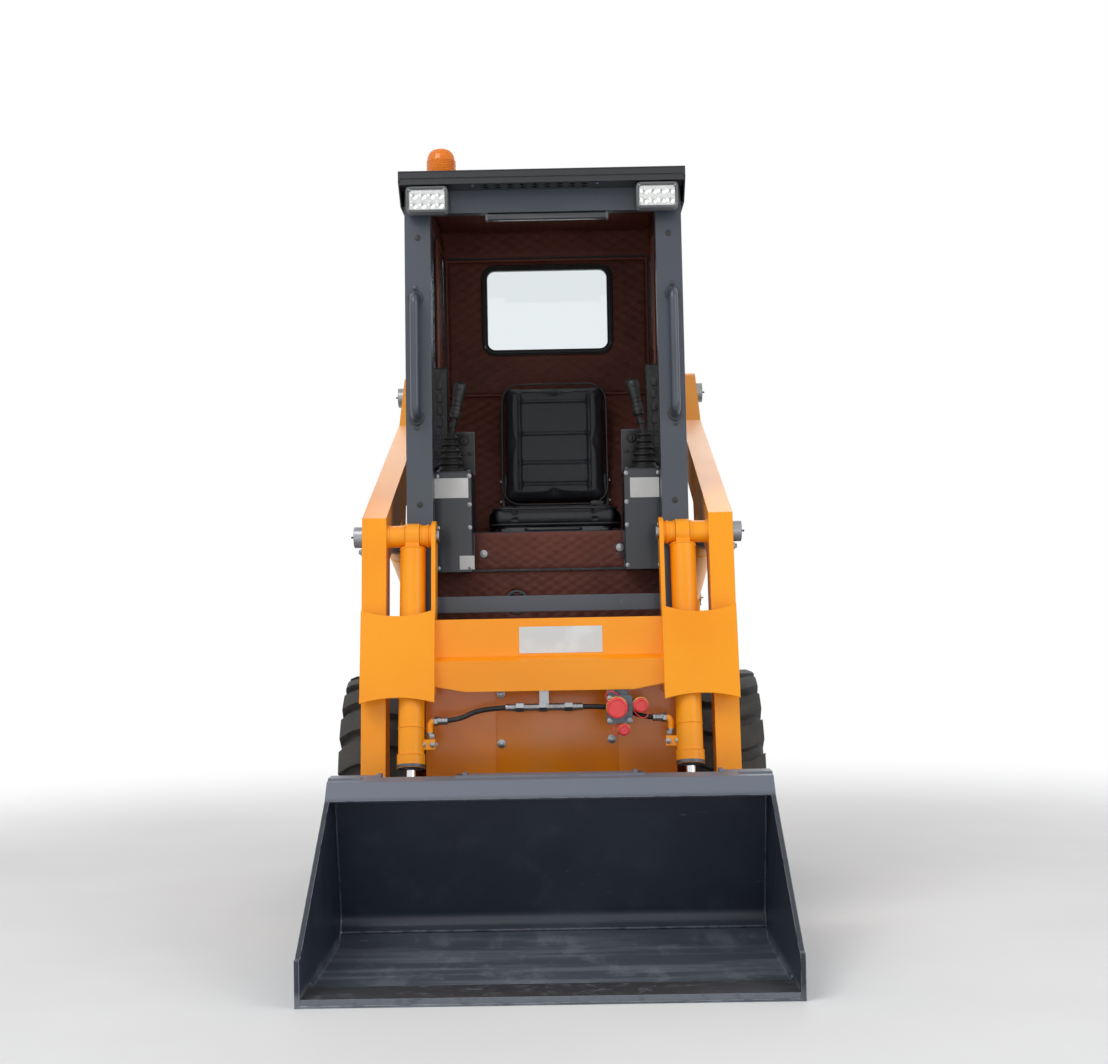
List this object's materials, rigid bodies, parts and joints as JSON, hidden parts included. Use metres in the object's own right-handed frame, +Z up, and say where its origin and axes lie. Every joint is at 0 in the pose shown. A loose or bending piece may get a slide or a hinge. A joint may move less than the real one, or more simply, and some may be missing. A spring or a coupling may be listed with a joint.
{
  "type": "skid steer loader",
  "caption": "Compact skid steer loader with an open front cab, a wide bucket on lift arms that rise and tilt, block tread wheels and an opening engine bay.",
  "frame": {"origin": "on the ground under the middle of the machine's bounding box", "axes": "-Y the way the bucket points, +X the driver's left, +Z up"},
  "size_m": [1.206, 2.5999, 2.25],
  "materials": {
    "bucket_paint": "satin",
    "worn_edge": "worn",
    "yellow_paint": "semi gloss",
    "cab_paint": "satin",
    "black_steel": "satin",
    "steel": "zinc plated",
    "chrome": "polished",
    "tyre": "matte",
    "engine": "rough",
    "quilt": "quilted",
    "seat_vinyl": "matte",
    "black_plastic": "matte",
    "console": "satin",
    "glass": "clear",
    "seal": "matte",
    "red_cap": "satin",
    "amber": "gloss",
    "hose": "matte"
  },
  "bodies": {
    "chassis": {"main_frame": "yellow_paint", "axles": "yellow_paint", "front_cover": "yellow_paint", "towers": "yellow_paint", "frame_pins": "steel", "engine_block": "engine", "rear_guard": "black_steel", "bay_beam": "yellow_paint", "cab_frame": "cab_paint", "roof": "black_steel", "cab_sides": "cab_paint", "rear_wall": "cab_paint", "linings": "quilt", "window_seal": "seal", "rear_window": "glass", "cab_floor": "cab_paint", "seat_box": "quilt", "seat_pan": "black_steel", "seat_cushion": "seat_vinyl", "seat_back": "seat_vinyl", "consoles": "console", "levers": "black_plastic", "side_boxes": "black_plastic", "grab_handles": "black_steel", "work_lamps": "black_plastic", "lamp_glasses": "glass", "beacon": "amber"},
    "boom": {"lift_arms": "yellow_paint", "cross_member": "yellow_paint", "boom_pins": "steel", "coupler_block": "black_steel", "coupler_caps": "red_cap", "hose_left": "hose", "hose_right": "hose", "hose_joint": "steel"},
    "bucket": {"bucket_shell": "bucket_paint", "cutting_edge": "worn_edge", "hitch_plates": "bucket_paint", "bucket_pins": "steel"},
    "hood": {"hood": "yellow_paint"},
    "engine_door": {"engine_door": "yellow_paint"},
    "lift_barrel_left": {"lift_barrel_left": "yellow_paint"},
    "lift_rod_left": {"lift_rod_left": "chrome"},
    "tilt_barrel_left": {"tilt_barrel_left": "yellow_paint"},
    "tilt_rod_left": {"tilt_rod_left": "chrome"},
    "lift_barrel_right": {"lift_barrel_right": "yellow_paint"},
    "lift_rod_right": {"lift_rod_right": "chrome"},
    "tilt_barrel_right": {"tilt_barrel_right": "yellow_paint"},
    "tilt_rod_right": {"tilt_rod_right": "chrome"},
    "wheel_front_left": {"rim_front_left": "yellow_paint", "tyre_front_left": "tyre"},
    "wheel_front_right": {"rim_front_right": "yellow_paint", "tyre_front_right": "tyre"},
    "wheel_rear_left": {"rim_rear_left": "yellow_paint", "tyre_rear_left": "tyre"},
    "wheel_rear_right": {"rim_rear_right": "yellow_paint", "tyre_rear_right": "tyre"}
  },
  "joints": [
    {"name": "boom_lift", "type": "hinge", "parent": "chassis", "child": "boom", "pos_m": [0, 0.95, 1.625], "axis": [-1, 0, 0], "range_deg": [0, 66]},
    {"name": "bucket_tilt", "type": "hinge", "parent": "boom", "child": "bucket", "pos_m": [0, -0.492, 0.185], "axis": [1, 0, 0], "range_deg": [-25, 104]},
    {"name": "lift_left_swing", "type": "hinge", "parent": "chassis", "child": "lift_barrel_left", "pos_m": [0.484, 0.99, 0.89], "axis": [-1, 0, 0], "range_deg": [0, 41.92]},
    {"name": "lift_left_stroke", "type": "slide", "parent": "lift_barrel_left", "child": "lift_rod_left", "axis": [0, -0.9681, 0.2506], "range_m": [0, 0.6409]},
    {"name": "tilt_left_swing", "type": "hinge", "parent": "boom", "child": "tilt_barrel_left", "pos_m": [0.378, -0.36, 1.086], "axis": [-1, 0, 0], "range_deg": [-0.42, 0.11]},
    {"name": "tilt_left_stroke", "type": "slide", "parent": "tilt_barrel_left", "child": "tilt_rod_left", "axis": [0, -0.2547, -0.967], "range_m": [-0.0431, 0.179]},
    {"name": "lift_right_swing", "type": "hinge", "parent": "chassis", "child": "lift_barrel_right", "pos_m": [-0.484, 0.99, 0.89], "axis": [-1, 0, 0], "range_deg": [0, 41.92]},
    {"name": "lift_right_stroke", "type": "slide", "parent": "lift_barrel_right", "child": "lift_rod_right", "axis": [0, -0.9681, 0.2506], "range_m": [0, 0.6409]},
    {"name": "tilt_right_swing", "type": "hinge", "parent": "boom", "child": "tilt_barrel_right", "pos_m": [-0.378, -0.36, 1.086], "axis": [-1, 0, 0], "range_deg": [-0.42, 0.11]},
    {"name": "tilt_right_stroke", "type": "slide", "parent": "tilt_barrel_right", "child": "tilt_rod_right", "axis": [0, -0.2547, -0.967], "range_m": [-0.0431, 0.179]},
    {"name": "wheel_front_left_spin", "type": "hinge", "parent": "chassis", "child": "wheel_front_left", "pos_m": [0.4955, -0.03, 0.34], "axis": [1, 0, 0], "continuous": true},
    {"name": "wheel_front_right_spin", "type": "hinge", "parent": "chassis", "child": "wheel_front_right", "pos_m": [-0.4955, -0.03, 0.34], "axis": [1, 0, 0], "continuous": true},
    {"name": "wheel_rear_left_spin", "type": "hinge", "parent": "chassis", "child": "wheel_rear_left", "pos_m": [0.4955, 0.75, 0.34], "axis": [1, 0, 0], "continuous": true},
    {"name": "wheel_rear_right_spin", "type": "hinge", "parent": "chassis", "child": "wheel_rear_right", "pos_m": [-0.4955, 0.75, 0.34], "axis": [1, 0, 0], "continuous": true},
    {"name": "hood_lift", "type": "hinge", "parent": "chassis", "child": "hood", "pos_m": [0, 0.603, 1.143], "axis": [1, 0, 0], "range_deg": [0, 55]},
    {"name": "engine_door_swing", "type": "hinge", "parent": "chassis", "child": "engine_door", "pos_m": [0.347, 1.167, 0.83], "axis": [0, 0, -1], "range_deg": [0, 105]}
  ],
  "couplings": [
    {"joint": "lift_left_swing", "follows": "boom_lift", "ratio": 0.63509},
    {"joint": "lift_left_stroke", "follows": "boom_lift", "m_per_rad": 0.55635},
    {"joint": "tilt_left_swing", "follows": "bucket_tilt", "ratio": -0.004},
    {"joint": "tilt_left_stroke", "follows": "bucket_tilt", "m_per_rad": 0.098549},
    {"joint": "lift_right_swing", "follows": "boom_lift", "ratio": 0.63509},
    {"joint": "lift_right_stroke", "follows": "boom_lift", "m_per_rad": 0.55635},
    {"joint": "tilt_right_swing", "follows": "bucket_tilt", "ratio": -0.004},
    {"joint": "tilt_right_stroke", "follows": "bucket_tilt", "m_per_rad": 0.098549}
  ]
}
